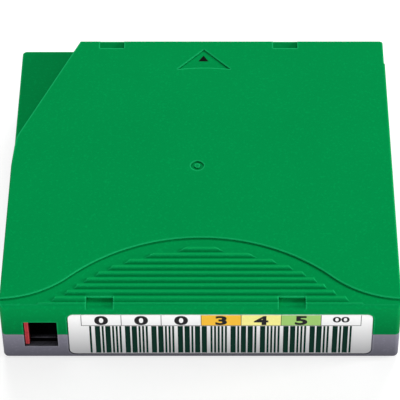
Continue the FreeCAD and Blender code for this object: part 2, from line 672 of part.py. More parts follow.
board_foot = "(floor_thick + board_play/2)"


def board_rest(body):
    """Two sloping gussets and a toe rib that keep the memory board at 45 degrees."""
    low = "floor_thick/2"
    places = ("board_left + gusset_inset", "board_right - gusset_inset - gusset_thick")
    for index, x in enumerate(places):
        side = sketch_on(body, f"gusset_{index}_plan", "YZ_Plane", x)
        loop(side, [(f"0 - inner_y - {root}", low), (f"0 - board_line - {low}", low),
                    (f"0 - inner_y - {root}", f"inner_y + {root} - board_line")])
        pad(body, f"gusset_{index}", side, "gusset_thick")
    toe = flat(body, "toe_plan", low)
    near = f"(board_play + board_thick - board_line - {board_foot})"
    box_loop(toe, "board_left + gusset_inset", "board_right - gusset_inset",
             near, f"{near} + toe_thick")
    pad(body, "toe_rib", toe, f"floor_thick + toe_height - {low}")


def make_reel_hub():
    """Hub and lower flange in one moulding, drive teeth below and lock teeth inside."""
    body = new_body("reel_hub")
    revolve(body, "hub", [
        (0, "gear_face"), ("gear_boss", "gear_face"), ("gear_boss", "reel_low"),
        ("reel_radius", "tape_low - flange_taper - flange_edge"),
        ("reel_radius", "tape_low - flange_taper"),
        ("hub_radius", "tape_low"), ("hub_radius", "tape_top"), ("spigot_radius", "tape_top"),
        ("spigot_radius", "tape_top + spigot_height"), ("hub_bore", "tape_top + spigot_height"),
        ("hub_bore", "hub_floor"), (0, "hub_floor")])
    tooth_ring(body, "drive_tooth", "gear_inner", "gear_outer", f"gear_face + {fine_root}",
               "gear_face - gear_tooth")
    tooth_ring(body, "lock_tooth_pair", "lock_inner", "lock_outer", f"hub_floor - {fine_root}",
               "hub_floor + lock_tooth")
    holes = flat(body, "leg_hole_plan", 0)
    for angle in leg_turns:
        circle(holes, f"leg_orbit*cos({angle})", f"leg_orbit*sin({angle})", "leg_hole")
    cut_up(body, "leg_holes", holes, f"hub_floor + {root}")
    on_reel_axis(body, half_tooth)
    return body


def make_reel_flange():
    body = new_body("reel_upper_flange")
    bore = "spigot_radius + weld_fit"
    revolve(body, "flange", [
        (bore, "tape_top"), ("reel_radius", "tape_top + flange_taper"),
        ("reel_radius", "tape_top + flange_taper + flange_edge"), (bore, "tape_top + flange_thick")])
    on_reel_axis(body)
    return body


def make_reel_plate():
    """The steel disc that the drive's magnet holds."""
    body = new_body("reel_plate")
    plan = ring(flat(body, "plate_plan", "gear_face - plate_thick"), 0, 0,
                "plate_bore", "plate_radius")
    pad(body, "plate", plan, "plate_thick")
    on_reel_axis(body)
    return body


def make_tape_pack():
    body = new_body("tape_pack")
    plan = ring(flat(body, "pack_plan", "tape_edge"), 0, 0,
                "hub_radius + weld_fit", "tape_pack_radius")
    pad(body, "pack", plan, "tape_width")
    on_reel_axis(body)
    return body


def make_tape_lead():
    """The free end of the tape, tangent to the pack and to the leader pin."""
    body = new_body("tape_lead")
    span = "sqrt((pin_x + reel_offset)^2 + pin_y^2)"
    step = f"asin((tape_pack_radius - pin_radius)/{span})"
    lean = f"(90 deg + atan2(pin_y; pin_x + reel_offset) - {step})"
    pack, pin = "(tape_pack_radius + weld_fit)", "(pin_radius + weld_fit)"

    def spot(x, y, radius):
        return f"{x} + {radius}*cos({lean})", f"{y} + {radius}*sin({lean})"
    strip = loop(flat(body, "lead_plan", "tape_edge"), [
        spot("axis_x", 0, pack), spot("pin_x", "pin_y", pin),
        spot("pin_x", "pin_y", f"({pin} + tape_sheet)"),
        spot("axis_x", 0, f"({pack} + tape_sheet)")])
    pad(body, "lead", strip, "tape_width")
    return body


def make_leader_pin():
    body = new_body("leader_pin")
    end, groove = "pin_end_length", "(pin_end_length + pin_groove_length)"
    flange = "(pin_end_length + pin_groove_length + pin_flange_length)"
    half = [("pin_end_radius", "0"), ("pin_end_radius", end), ("pin_groove_radius", end),
            ("pin_groove_radius", groove), ("pin_flange_radius", groove),
            ("pin_flange_radius", flange), ("pin_radius", flange)]
    below = [(radius, f"pin_low + {step}") for radius, step in half]
    above = [(radius, f"pin_top - {step}") for radius, step in half[::-1]]
    revolve(body, "pin", [(0, "pin_low"), *below, *above, (0, "pin_top")])
    set_size(body, "Placement.Base.x", "pin_x")
    set_size(body, "Placement.Base.y", "pin_y")
    doc.recompute()
    return body


def make_pin_clip():
    """The springy sleeve that grips the tape's end on the pin."""
    body = new_body("leader_pin_clip")

    def spot(radius, angle):
        return f"pin_x + {radius}*cos({angle})", f"pin_y + {radius}*sin({angle})"
    inner, outer = "clip_inner", "(clip_inner + clip_wall)"
    turns = [clip_start + step * clip_turn for step in range(4)]
    corners = [(*spot(outer, angle), outer, 1) for angle in turns[:3]] + [spot(outer, turns[3])]
    corners += [(*spot(inner, angle), inner, -1) for angle in turns[:0:-1]] + [spot(inner, turns[0])]
    sleeve = loop(flat(body, "sleeve_plan", "tape_edge + clip_inset"), corners)
    pad(body, "sleeve", sleeve, "tape_width - 2*clip_inset")
    return body


def make_pin_spring():
    """Leaf spring: a base held behind the back wall and an arm at each end of the pin."""
    body = new_body("leader_pin_spring")
    front, rear = "(inner_y - leaf_gap)", "(inner_y - leaf_gap - leaf_thick)"
    base = flat(body, "base_plan", "floor_thick")
    box_loop(base, "pin_x - leaf_left", "pin_x - leaf_right", rear, front)
    pad(body, "base", base, "ceiling - floor_thick")
    start, out, touch = f"pin_x - leaf_right - {lap}", "pin_x + arm_out", "pin_x + arm_touch"
    corners = [
        (start, rear), (out, rear), (out, "pin_y + arm_bend"), (touch, "pin_y + leaf_play"),
        ("pin_x + lip_out", "pin_y - lip_drop"),
        ("pin_x + lip_out + leaf_thick*0.9", "pin_y - lip_drop + leaf_thick*0.5"),
        (f"{touch} + leaf_thick*1.2", "pin_y + leaf_play"),
        (f"{out} + leaf_thick", "pin_y + arm_bend"), (f"{out} + leaf_thick", front), (start, front)]
    levels = (("arm_low", "pin_low + leaf_play/2"), ("arm_high", "pin_top - leaf_play/2 - leaf_height"))
    for name, low in levels:
        pad(body, name, loop(flat(body, name + "_plan", low), corners), "leaf_height")
    return body


def make_brake():
    """Keyed to the roof by a cross socket; its teeth sit between the hub's lock teeth."""
    body = new_body("brake_button")
    revolve(body, "disc", [
        (0, "lock_face"), ("brake_radius", "lock_face"), ("brake_radius", "brake_top - brake_edge"),
        ("brake_radius - brake_edge", "brake_top"), ("brake_boss_radius", "brake_top"),
        ("brake_boss_radius", "brake_boss_top"), (0, "brake_boss_top")])
    near, far = "(cross_width/2 + cross_play)", "(cross_reach + cross_play)"
    corners = [(near, near), (near, far), (f"0 - {near}", far), (f"0 - {near}", near),
               (f"0 - {far}", near), (f"0 - {far}", f"0 - {near}"),
               (f"0 - {near}", f"0 - {near}"), (f"0 - {near}", f"0 - {far}"),
               (near, f"0 - {far}"), (near, f"0 - {near}"), (far, f"0 - {near}"), (far, near)]
    socket = loop(flat(body, "socket_plan", "socket_floor"), corners)
    cut_up(body, "socket", socket, f"brake_boss_top - socket_floor + {overrun}")
    tooth_ring(body, "brake_tooth", "lock_inner", "lock_outer", f"lock_face + {fine_root}",
               "lock_face - lock_tooth")
    on_reel_axis(body)
    return body


def make_release_pad():
    """Three legs reach through the hub to the drive's gear and lift the brake."""
    body = new_body("release_pad")
    corner, turn = "(leg_orbit - pad_inset)", "(leg_radius + pad_rim)"
    corners = []
    for angle in leg_turns:
        middle = f"{corner}*cos({angle})", f"{corner}*sin({angle})"
        before, after = angle - 60, angle + 60
        corners.append((f"{middle[0]} + {turn}*cos({before})", f"{middle[1]} + {turn}*sin({before})",
                        turn, 1))
        corners.append((f"{middle[0]} + {turn}*cos({after})", f"{middle[1]} + {turn}*sin({after})"))
    plate = loop(flat(body, "plate_plan", "hub_floor"), corners)
    pad(body, "plate", plate, "pad_thick")
    dome = circle(flat(body, "dome_plan", "hub_floor + pad_thick/2"), 0, 0, "pad_dome_radius")
    pad(body, "dome", dome, "lock_face - hub_floor - pad_thick/2")
    legs = flat(body, "leg_plan", "gear_face - gear_tooth")
    for angle in leg_turns:
        circle(legs, f"leg_orbit*cos({angle})", f"leg_orbit*sin({angle})", "leg_radius")
    pad(body, "legs", legs, "hub_floor + pad_thick/2 - gear_face + gear_tooth")
    on_reel_axis(body, half_tooth)
    return body


def make_door():
    body = new_body("door")
    low = "(floor_thick - groove_depth + door_play)"
    panel = flat(body, "panel_plan", low)
    box_loop(panel, "wall_groove", "door_outer", "door_back", "opening_back + door_travel")
    pad(body, "panel", panel, f"ceiling + groove_depth - door_play - {low}")
    tab = flat(body, "tab_plan", "tab_low")
    box_loop(tab, f"door_outer - {lap}", "door_outer + tab_reach",
             "opening_front - tab_inset - tab_length", "opening_front - tab_inset")
    pad(body, "tab", tab, "tab_height")
    seat = flat(body, "seat_plan", "door_spring_z - door_seat_half")
    box_loop(seat, "door_spring_x - door_seat_reach", f"wall_groove + {lap}",
             "door_back", "door_back + door_seat_length")
    pad(body, "spring_seat", seat, "2*door_seat_half")
    shaft = circle(sketch_on(body, "shaft_plan", "XZ_Plane", f"0 - door_back - {root}"),
                   "door_spring_x", "door_spring_z", "shaft_radius")
    pad(body, "shaft", shaft, "shaft_length")
    return body


def make_slider():
    body = new_body("write_protect_slider")
    plate = flat(body, "plate_plan", "slider_low")
    box_loop(plate, "0 - inner_x + slider_play", "0 - slider_edge", "slider_front", "slider_back")
    pad(body, "plate", plate, "slider_top - slider_low")
    ridge = flat(body, "ridge_plan", "window_low + ridge_play")
    box_loop(ridge, "0 - slider_edge - slider_ridge", "0 - slider_edge",
             "0 - half_depth + ridge_sink", f"slider_front + {lap}")
    pad(body, "ridge", ridge, "window_top - window_low - 2*ridge_play")
    return body


def make_board():
    """The contactless memory's board, leaning at 45 degrees in the rear corner."""
    body = new_body("memory_board")
    side = sketch_on(body, "board_side", "YZ_Plane", "board_left")
    loop(side, [
        (f"0 - board_line - {board_foot}", board_foot),
        (f"0 - board_line - {board_foot} + board_thick", f"{board_foot} + board_thick"),
        ("0 - board_line - board_top + board_thick", "board_top + board_thick"),
        ("0 - board_line - board_top", "board_top")])
    pad(body, "board", side, "board_right - board_left")
    return body


def make_chip():
    body = new_body("memory_chip")
    middle, half = "(floor_thick + board_top)/2", "chip_size/(2*sqrt(2))"
    face = "(board_line - board_thick*2)"
    side = sketch_on(body, "chip_side", "YZ_Plane", "(board_left + board_right - chip_size)/2")
    low, high = f"({middle} + board_thick - {half})", f"({middle} + board_thick + {half})"
    loop(side, [
        (f"0 - {face} - {low}", low),
        (f"0 - {face} - {low} + chip_thick", f"{low} + chip_thick"),
        (f"0 - {face} - {high} + chip_thick", f"{high} + chip_thick"),
        (f"0 - {face} - {high}", high)])
    pad(body, "chip", side, "chip_size")
    return body


def make_screws():
    """Four case screws driven from below, one solid each."""
    body = new_body("case_screws")
    body.AllowCompound = True
    heads = flat(body, "head_plan", "screw_seat - screw_head")
    shanks = flat(body, "shank_plan", f"screw_seat - {lap}")
    slots = flat(body, "driver_plan", f"screw_seat - screw_head - {overrun}")
    for x, y in screw_places:
        circle(heads, x, y, "screw_head_radius")
        circle(shanks, x, y, "screw_radius")
        cross_loop(slots, x, y, "screw_head_radius*0.6", "driver_web")
    pad(body, "heads", heads, "screw_head")
    pad(body, "shanks", shanks, f"screw_end - screw_seat + {lap}")
    cut_up(body, "driver_slots", slots, f"driver_depth + {overrun}")
    return body


def cross_loop(sketch, x, y, arm, web):
    signs = [(1, 1, "w", "w"), (1, 1, "w", "a"), (-1, 1, "w", "a"), (-1, 1, "w", "w"),
             (-1, 1, "a", "w"), (-1, -1, "a", "w"), (-1, -1, "w", "w"), (-1, -1, "w", "a"),
             (1, -1, "w", "a"), (1, -1, "w", "w"), (1, -1, "a", "w"), (1, 1, "a", "w")]
    length = {"w": web, "a": arm}
    return loop(sketch, [(f"{x} + {sx}*{length[kx]}", f"{y} + {sy}*{length[ky]}")
                         for sx, sy, kx, ky in signs])


def make_label():
    body = new_body("barcode_label")
    outline = sketch_on(body, "label_outline", "XZ_Plane", "0 - label_floor")
    round_box_loop(outline, "0 - label_left + label_play", "label_right - label_play",
                   "label_low + label_play", "label_top - label_play",
                   "(label_radius - label_play)")
    pad(body, "label", outline, "label_thick")
    return body


def coil(label, turns, steps, sides, radius, wire, length):
    """A closed-end compression spring as one faceted solid, standing on its own XY plane."""
    closing = 0.55 / (2 * math.pi)
    total = round(turns * steps)
    rings = []
    for step in range(total + 1):
        share = step / total
        rise = wire / 2 + (length - wire) * (share - closing * math.sin(2 * math.pi * share))
        angle = 2 * math.pi * step / steps
        rings.append([
            FreeCAD.Vector((radius + wire / 2 * math.cos(turn)) * math.cos(angle),
                           (radius + wire / 2 * math.cos(turn)) * math.sin(angle),
                           rise + wire / 2 * math.sin(turn))
            for turn in (2 * math.pi * side / sides for side in range(sides))])
    faces = [Part.Face(Part.makePolygon(rings[0] + rings[0][:1])),
             Part.Face(Part.makePolygon(rings[-1] + rings[-1][:1]))]
    for lower, upper in zip(rings, rings[1:]):
        for side in range(sides):
            near, far = side, (side + 1) % sides
            faces.append(Part.Face(Part.makePolygon([lower[near], lower[far], upper[far], lower[near]])))
            faces.append(Part.Face(Part.makePolygon([lower[near], upper[far], upper[near], lower[near]])))
    solid = Part.Solid(Part.makeShell(faces))
    if solid.Volume < 0:
        solid.reverse()
    spring = doc.addObject("Part::Feature", label)
    spring.Label = label
    spring.Shape = solid
    return spring


def make_brake_spring():
    spring = coil("brake_spring", 4.5, 16, 6, value("brake_spring_radius"), value("brake_wire"),
                  value("ceiling - brake_top"))
    spring.Placement.Base = FreeCAD.Vector(value("axis_x"), 0, value("brake_top"))
    return spring


def make_door_spring():
    spring = coil("door_spring", 20, 9, 4, value("door_spring_radius"), value("door_wire"),
                  value("door_back + door_spring_stop"))
    turned = FreeCAD.Rotation(FreeCAD.Vector(1, 0, 0), -90)
    start = FreeCAD.Vector(value("door_spring_x"), -value("door_spring_stop"), value("door_spring_z"))
    spring.Placement = FreeCAD.Placement(start, turned)
    return spring


pieces = [
    make_upper_shell(), make_lower_shell(), make_reel_hub(), make_reel_flange(),
    make_reel_plate(), make_tape_pack(), make_tape_lead(), make_leader_pin(), make_pin_clip(),
    make_pin_spring(), make_brake(), make_brake_spring(), make_release_pad(), make_door(),
    make_door_spring(), make_slider(), make_board(), make_chip(), make_screws(), make_label(),
]
doc.recompute()

for item in doc.Objects:
    if "Invalid" in item.State or "Error" in item.State:
        raise RuntimeError(f"{item.Name} failed to rebuild")
for piece in pieces:
    if piece.Shape.isNull() or not piece.Shape.isValid():
        raise RuntimeError(f"{piece.Label} is not a valid shape")
    piece.Shape.exportStep(f"parts/{piece.Label}.step")
    print(piece.Label, len(piece.Shape.Solids), round(piece.Shape.Volume, 1))
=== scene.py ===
import math

import bpy
from mathutils import Matrix, Vector


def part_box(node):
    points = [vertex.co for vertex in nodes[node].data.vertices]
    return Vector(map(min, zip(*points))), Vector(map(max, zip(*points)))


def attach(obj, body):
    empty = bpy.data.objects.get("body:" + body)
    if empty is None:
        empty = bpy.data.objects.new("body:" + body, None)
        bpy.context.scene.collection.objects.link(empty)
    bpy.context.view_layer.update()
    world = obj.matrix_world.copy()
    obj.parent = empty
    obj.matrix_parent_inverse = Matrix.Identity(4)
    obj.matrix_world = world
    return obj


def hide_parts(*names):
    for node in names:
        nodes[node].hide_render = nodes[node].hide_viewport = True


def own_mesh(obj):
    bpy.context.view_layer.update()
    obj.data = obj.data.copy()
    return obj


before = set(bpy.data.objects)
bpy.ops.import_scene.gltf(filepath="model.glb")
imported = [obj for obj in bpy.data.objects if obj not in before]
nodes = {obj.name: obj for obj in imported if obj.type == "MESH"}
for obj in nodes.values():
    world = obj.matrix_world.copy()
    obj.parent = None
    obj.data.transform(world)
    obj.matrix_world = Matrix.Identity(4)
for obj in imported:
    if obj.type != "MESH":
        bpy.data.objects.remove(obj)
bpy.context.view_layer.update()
mm = 0.001


# node helpers

def addNode(tree, kind, **settings):
    made = tree.nodes.new(kind)
    for name, setting in settings.items():
        setattr(made, name, setting)
    return made


def setInput(node, **values):
    for name, setting in values.items():
        node.inputs[name.replace("_", " ")].default_value = setting
    return node


def link(tree, *pairs):
    for source, target in pairs:
        tree.links.new(source, target)


def maths(tree, operation, *operands):
    # each operand is a number or another node's output
    node = addNode(tree, "ShaderNodeMath", operation=operation)
    for socket, operand in zip(node.inputs, operands):
        if isinstance(operand, (int, float)):
            socket.default_value = operand
        else:
            link(tree, (operand, socket))
    return node.outputs[0]


def mapRange(tree, value, fromMin, fromMax, toMin=0.0, toMax=1.0):
    node = setInput(addNode(tree, "ShaderNodeMapRange"), From_Min=fromMin, From_Max=fromMax,
                    To_Min=toMin, To_Max=toMax)
    link(tree, (value, node.inputs["Value"]))
    return node.outputs["Result"]


def objectPlace(tree):
    return addNode(tree, "ShaderNodeTexCoord").outputs["Object"]


def objectHeight(tree):
    split = addNode(tree, "ShaderNodeSeparateXYZ")
    link(tree, (objectPlace(tree), split.inputs[0]))
    return split.outputs["Z"]


def noise(tree, vector, **values):
    node = setInput(addNode(tree, "ShaderNodeTexNoise"), **values)
    link(tree, (vector, node.inputs["Vector"]))
    return node


def colourRamp(tree, value, low, high):
    ramp = addNode(tree, "ShaderNodeValToRGB")
    ramp.color_ramp.elements[0].color = (*low, 1)
    ramp.color_ramp.elements[1].color = (*high, 1)
    link(tree, (value, ramp.inputs["Fac"]))
    return ramp.outputs["Color"]


def bumpNormal(tree, height, strength, depth):
    relief = setInput(addNode(tree, "ShaderNodeBump"), Strength=strength, Distance=depth)
    link(tree, (height, relief.inputs["Height"]))
    return relief


def newGroup(name, inputs, outputs):
    group = bpy.data.node_groups.new(name, "ShaderNodeTree")
    for label, kind, start in inputs:
        socket = group.interface.new_socket(label, in_out="INPUT", socket_type=kind)
        socket.default_value = start
    for label, kind in outputs:
        group.interface.new_socket(label, in_out="OUTPUT", socket_type=kind)
    return group, group.nodes.new("NodeGroupInput"), group.nodes.new("NodeGroupOutput")


def newMaterial(name, **values):
    material = bpy.data.materials.new(name)
    material.use_nodes = True
    tree = material.node_tree
    return material, tree, setInput(tree.nodes["Principled BSDF"], **values)


# effects that several materials share

grainLook = {"detail": 2.0, "roughness": 0.6, "depth": 0.0001,
             "fleckScale": 1500.0, "fleckFrom": 0.56, "fleckTo": 0.74, "fleckLift": 0.3,
             "mottleScale": 45.0, "mottleFrom": 0.3, "mottleTo": 0.7, "mottleLift": 0.03}


def makeGrainGroup(look):
    # moulded grain: a colour with faint mottling and light flecks, and a height for the bump
    group, start, end = newGroup(
        "mouldedGrain",
        [("Colour", "NodeSocketColor", (0.5, 0.5, 0.5, 1)), ("Speckle", "NodeSocketFloat", 0.1),
         ("Grain Size", "NodeSocketFloat", 2500.0)],
        [("Colour", "NodeSocketColor"), ("Height", "NodeSocketFloat")])
    place = objectPlace(group)
    fine = noise(group, place, Detail=look["detail"], Roughness=look["roughness"])
    flecks = noise(group, place, Scale=look["fleckScale"], Detail=1.0).outputs["Fac"]
    mottle = noise(group, place, Scale=look["mottleScale"], Detail=2.0).outputs["Fac"]
    flecks = mapRange(group, flecks, look["fleckFrom"], look["fleckTo"], 0.0, look["fleckLift"])
    mottle = mapRange(group, mottle, look["mottleFrom"], look["mottleTo"],
                      -look["mottleLift"], look["mottleLift"])
    shade = maths(group, "MULTIPLY_ADD", maths(group, "ADD", flecks, mottle),
                  start.outputs["Speckle"], 1.0)
    tint = addNode(group, "ShaderNodeVectorMath", operation="SCALE")
    link(group, (start.outputs["Grain Size"], fine.inputs["Scale"]),
         (start.outputs["Colour"], tint.inputs[0]), (shade, tint.inputs["Scale"]),
         (tint.outputs["Vector"], end.inputs["Colour"]),
         (fine.outputs["Fac"], end.inputs["Height"]))
    return group


# how open a place is where each mask starts to show, and where it is full
paintedLightLook = {"samples": 6, "edge": (0.97, 0.68), "creaseshade": (0.68, 0.5), "pocket": (0.5, 0.32)}


def makePaintedLightGroup(look):
    # masks for a painted highlight on outer edges and painted shade in narrow joints and closed-in
    # places, and a normal rounded over edges
    group, start, end = newGroup(
        "paintedLightMasks",
        [("Radius", "NodeSocketFloat", 0.0002), ("Edge Width", "NodeSocketFloat", 0.0003),
         ("Crease Width", "NodeSocketFloat", 0.001), ("Pocket Reach", "NodeSocketFloat", 0.02)],
        [("Edge", "NodeSocketFloat"), ("Creaseshade", "NodeSocketFloat"), ("Pocket", "NodeSocketFloat"),
         ("Normal", "NodeSocketVector")])
    bevel = addNode(group, "ShaderNodeBevel", samples=look["samples"])
    link(group, (start.outputs["Radius"], bevel.inputs["Radius"]),
         (bevel.outputs["Normal"], end.inputs["Normal"]))
    # each row: the output, the input that says how far to look, and how to look
    rows = (("Edge", "Edge Width", {"inside": True, "only_local": True}),
            ("Creaseshade", "Crease Width", {"only_local": True}),
            ("Pocket", "Pocket Reach", {}))
    for output, reach, settings in rows:
        openness = addNode(group, "ShaderNodeAmbientOcclusion", samples=look["samples"], **settings)
        mask = mapRange(group, openness.outputs["AO"], *look[output.lower()])
        link(group, (start.outputs[reach], openness.inputs["Distance"]), (mask, end.inputs[output]))
    return group


grainGroup = makeGrainGroup(grainLook)
paintedLightGroup = makePaintedLightGroup(paintedLightLook)


# materials

def mouldedPlastic(name, colour, roughness=0.5, speckle=0.5, grain=2500.0, bump=0.1,
                   specular=0.5, sheen=(1, 1, 1)):
    material, tree, shader = newMaterial(name, Roughness=roughness, Specular_IOR_Level=specular,
                                         Specular_Tint=(*sheen, 1))
    group = addNode(tree, "ShaderNodeGroup", node_tree=grainGroup)
    setInput(group, Colour=(*colour, 1), Speckle=speckle, Grain_Size=grain)
    relief = bumpNormal(tree, group.outputs["Height"], bump, grainLook["depth"])
    link(tree, (relief.outputs["Normal"], shader.inputs["Normal"]),
         (group.outputs["Colour"], shader.inputs["Base Color"]))
    return material


# lengths and places are in metres here
caseLook = {
    # greenEdge, greyEdge and redEdge are painted highlights for outer edges
    "green": (0.0003, 0.268, 0.064), "greenEdge": (0.02, 0.62, 0.22), "greenSheen": (0.02, 0.9, 0.35),
    "grey": (0.2, 0.195, 0.245), "greyEdge": (0.36, 0.36, 0.42),
    "red": (0.40, 0.025, 0.035), "redEdge": (0.7, 0.12, 0.12),
    "greenSpecular": 0.03, "otherSpecular": 0.1,
    "roughness": 0.5, "speckle": 0.55, "grain": 2600.0, "bump": 0.2,
    # edge sets the strength of the painted highlight on outer edges
    "edge": 0.45, "edgeRadius": 0.0003, "highlightWidth": 0.0005,
    # painted shade in narrow joints: its strength, how far it reaches and its tone
    "creaseshade": 0.75, "creaseShadeWidth": 0.0005, "creaseShadeTone": 0.25,
    # painted shade in the window's bay, which makes the bay nearly black
    "pocketShadeReach": 0.02, "pocketShadeTone": 0.04,
    "bayCentre": (-0.0424, -0.0437, 0.0092), "bayHalf": (0.0095, 0.0072, 0.0085),
    # painted shade along the line where the shells meet; the base keeps its whole colour
    "splitHeight": 0.0096, "seamShadeWidth": 0.0003, "seamShade": 0.4, "baseHeight": 0.0001, "baseFlat": 0.00002,
    # painted shade by height: height where it starts, height where it ends, share of the colour at its
    # low end
    "greenFade": (0.0096, 0.0205, 0.6), "greyFade": (0.0, 0.0096, 0.36), "redFade": (0.0, 0.0096, 0.8),
}


def bayMask(tree, look):
    # 1 in the box behind the write-protect window, where painted shade darkens the bay, 0 elsewhere
    away = addNode(tree, "ShaderNodeVectorMath", operation="SUBTRACT")
    away.inputs[1].default_value = look["bayCentre"]
    share = addNode(tree, "ShaderNodeVectorMath", operation="DIVIDE")
    share.inputs[1].default_value = look["bayHalf"]
    size = addNode(tree, "ShaderNodeVectorMath", operation="ABSOLUTE")
    parts = addNode(tree, "ShaderNodeSeparateXYZ")
    link(tree, (objectPlace(tree), away.inputs[0]), (away.outputs[0], share.inputs[0]),
         (share.outputs[0], size.inputs[0]), (size.outputs[0], parts.inputs[0]))
    widest = maths(tree, "MAXIMUM", parts.outputs["X"], parts.outputs["Y"])
    return maths(tree, "LESS_THAN", maths(tree, "MAXIMUM", widest, parts.outputs["Z"]), 1.0)


def paintedShadeShare(tree, look, fade):
    # painted shade: less colour towards the floor and along the line where the shells meet, all of it on
    # the base
    low, high, lowShare = fade
    height = objectHeight(tree)
    side = mapRange(tree, height, low, high, lowShare, 1.0)
    base = mapRange(tree, height, look["baseHeight"], look["baseFlat"])
    away = maths(tree, "ABSOLUTE", maths(tree, "SUBTRACT", height, look["splitHeight"]))
    seamShade = mapRange(tree, away, 0.0, look["seamShadeWidth"], 1.0 - look["seamShade"], 1.0)
    return maths(tree, "MULTIPLY", maths(tree, "MAXIMUM", side, base), seamShade)


def shellPlastic(name, kind, look, specular, sheen=(1, 1, 1)):
    # the case's plastic, with a painted highlight along its edges and painted shade in narrow joints and
    # in the window's bay
    colour = look[kind]
    material = mouldedPlastic(name, colour, look["roughness"], look["speckle"], look["grain"],
                              look["bump"], specular, sheen)
    tree = material.node_tree
    shader = tree.nodes["Principled BSDF"]
    base = shader.inputs["Base Color"].links[0].from_socket
    relief = shader.inputs["Normal"].links[0].from_node
    masks = addNode(tree, "ShaderNodeGroup", node_tree=paintedLightGroup)
    setInput(masks, Radius=look["edgeRadius"], Edge_Width=look["highlightWidth"],
             Crease_Width=look["creaseShadeWidth"], Pocket_Reach=look["pocketShadeReach"])
    edge = maths(tree, "MULTIPLY", masks.outputs["Edge"], look["edge"])
    creaseshade = maths(tree, "MULTIPLY", masks.outputs["Creaseshade"], look["creaseshade"])
    pocket = maths(tree, "MULTIPLY", masks.outputs["Pocket"], bayMask(tree, look))
    # painted highlight on outer edges, then painted shade in narrow joints and in the window's bay
    layers = ((edge, look[kind + "Edge"]),
              (creaseshade, [part * look["creaseShadeTone"] for part in colour]),
              (pocket, [part * look["pocketShadeTone"] for part in colour]))
    for mask, tone in layers:
        mixed = addNode(tree, "ShaderNodeMix", data_type="RGBA")
        mixed.inputs["B"].default_value = (*tone, 1)
        link(tree, (mask, mixed.inputs["Factor"]), (base, mixed.inputs["A"]))
        base = mixed.outputs["Result"]
    # painted shade by height and along the seam
    withPaintedShade = addNode(tree, "ShaderNodeVectorMath", operation="SCALE")
    link(tree, (base, withPaintedShade.inputs[0]),
         (paintedShadeShare(tree, look, look[kind + "Fade"]), withPaintedShade.inputs["Scale"]),
         (withPaintedShade.outputs["Vector"], shader.inputs["Base Color"]),
         (masks.outputs["Normal"], relief.inputs["Normal"]))
    return material


metalLook = {"grain": (400, 400, 4000), "smoother": 0.08, "rougher": 0.12, "darker": 0.8}


def drawnMetal(name, colour, roughness=0.3, look=metalLook):
    material, tree, shader = newMaterial(name, Metallic=1.0)
    lay = setInput(addNode(tree, "ShaderNodeMapping"), Scale=look["grain"])
    link(tree, (objectPlace(tree), lay.inputs["Vector"]))
    lines = noise(tree, lay.outputs["Vector"], Scale=1.0, Detail=3.0).outputs["Fac"]
    dark = [part * look["darker"] for part in colour]
    rough = mapRange(tree, lines, 0.0, 1.0, roughness - look["smoother"], roughness + look["rougher"])
    link(tree, (rough, shader.inputs["Roughness"]),
         (colourRamp(tree, lines, dark, colour), shader.inputs["Base Color"]))
    return material


filmLook = {"roughness": 0.28, "rings": 900.0, "distortion": 0.6, "detail": 2.0, "relief": 0.15,
            "depth": 0.00005, "dark": (0.012, 0.009, 0.008), "light": (0.045, 0.036, 0.032)}


def woundFilm(name, centre, look=filmLook):
    # the edges of the wound tape: fine rings round the reel's axis
    material, tree, shader = newMaterial(name, Roughness=look["roughness"])
    lay = setInput(addNode(tree, "ShaderNodeMapping"), Location=(-centre, 0, 0))
    rings = addNode(tree, "ShaderNodeTexWave", wave_type="RINGS", rings_direction="Z")
    setInput(rings, Scale=look["rings"], Distortion=look["distortion"], Detail=look["detail"])
    turns = rings.outputs["Fac"]
    relief = bumpNormal(tree, turns, look["relief"], look["depth"])
    link(tree, (objectPlace(tree), lay.inputs["Vector"]),
         (lay.outputs["Vector"], rings.inputs["Vector"]),
         (colourRamp(tree, turns, look["dark"], look["light"]), shader.inputs["Base Color"]),
         (relief.outputs["Normal"], shader.inputs["Normal"]))
    return material


# low is the paper's colour with painted shade at its lower edge
paperLook = {"roughness": 0.42, "specular": 0.3, "high": (0.99, 0.99, 0.99), "low": (0.38, 0.38, 0.39),
             "paintedShadeHeight": 0.0143, "fibre": 3000.0, "relief": 0.05, "depth": 0.00005}
labelLeft, labelFace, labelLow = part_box("barcode_label")[0]


def labelPaper(name, look):
    # coated paper with painted shade that makes it greyer towards its lower edge, and a faint fibre
    material, tree, shader = newMaterial(name, Roughness=look["roughness"],
                                         Specular_IOR_Level=look["specular"])
    rise = mapRange(tree, objectHeight(tree), labelLow, labelLow + look["paintedShadeHeight"])
    fibre = noise(tree, objectPlace(tree), Scale=look["fibre"], Detail=2.0).outputs["Fac"]
    relief = bumpNormal(tree, fibre, look["relief"], look["depth"])
    link(tree, (colourRamp(tree, rise, look["low"], look["high"]), shader.inputs["Base Color"]),
         (relief.outputs["Normal"], shader.inputs["Normal"]))
    return material


def setFinish(name, material):
    slots = nodes[name].data.materials
    slots.clear()
    slots.append(material)


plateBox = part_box("reel_plate")
reelCentre = (plateBox[0][0] + plateBox[1][0]) / 2
greySpecular = caseLook["otherSpecular"]

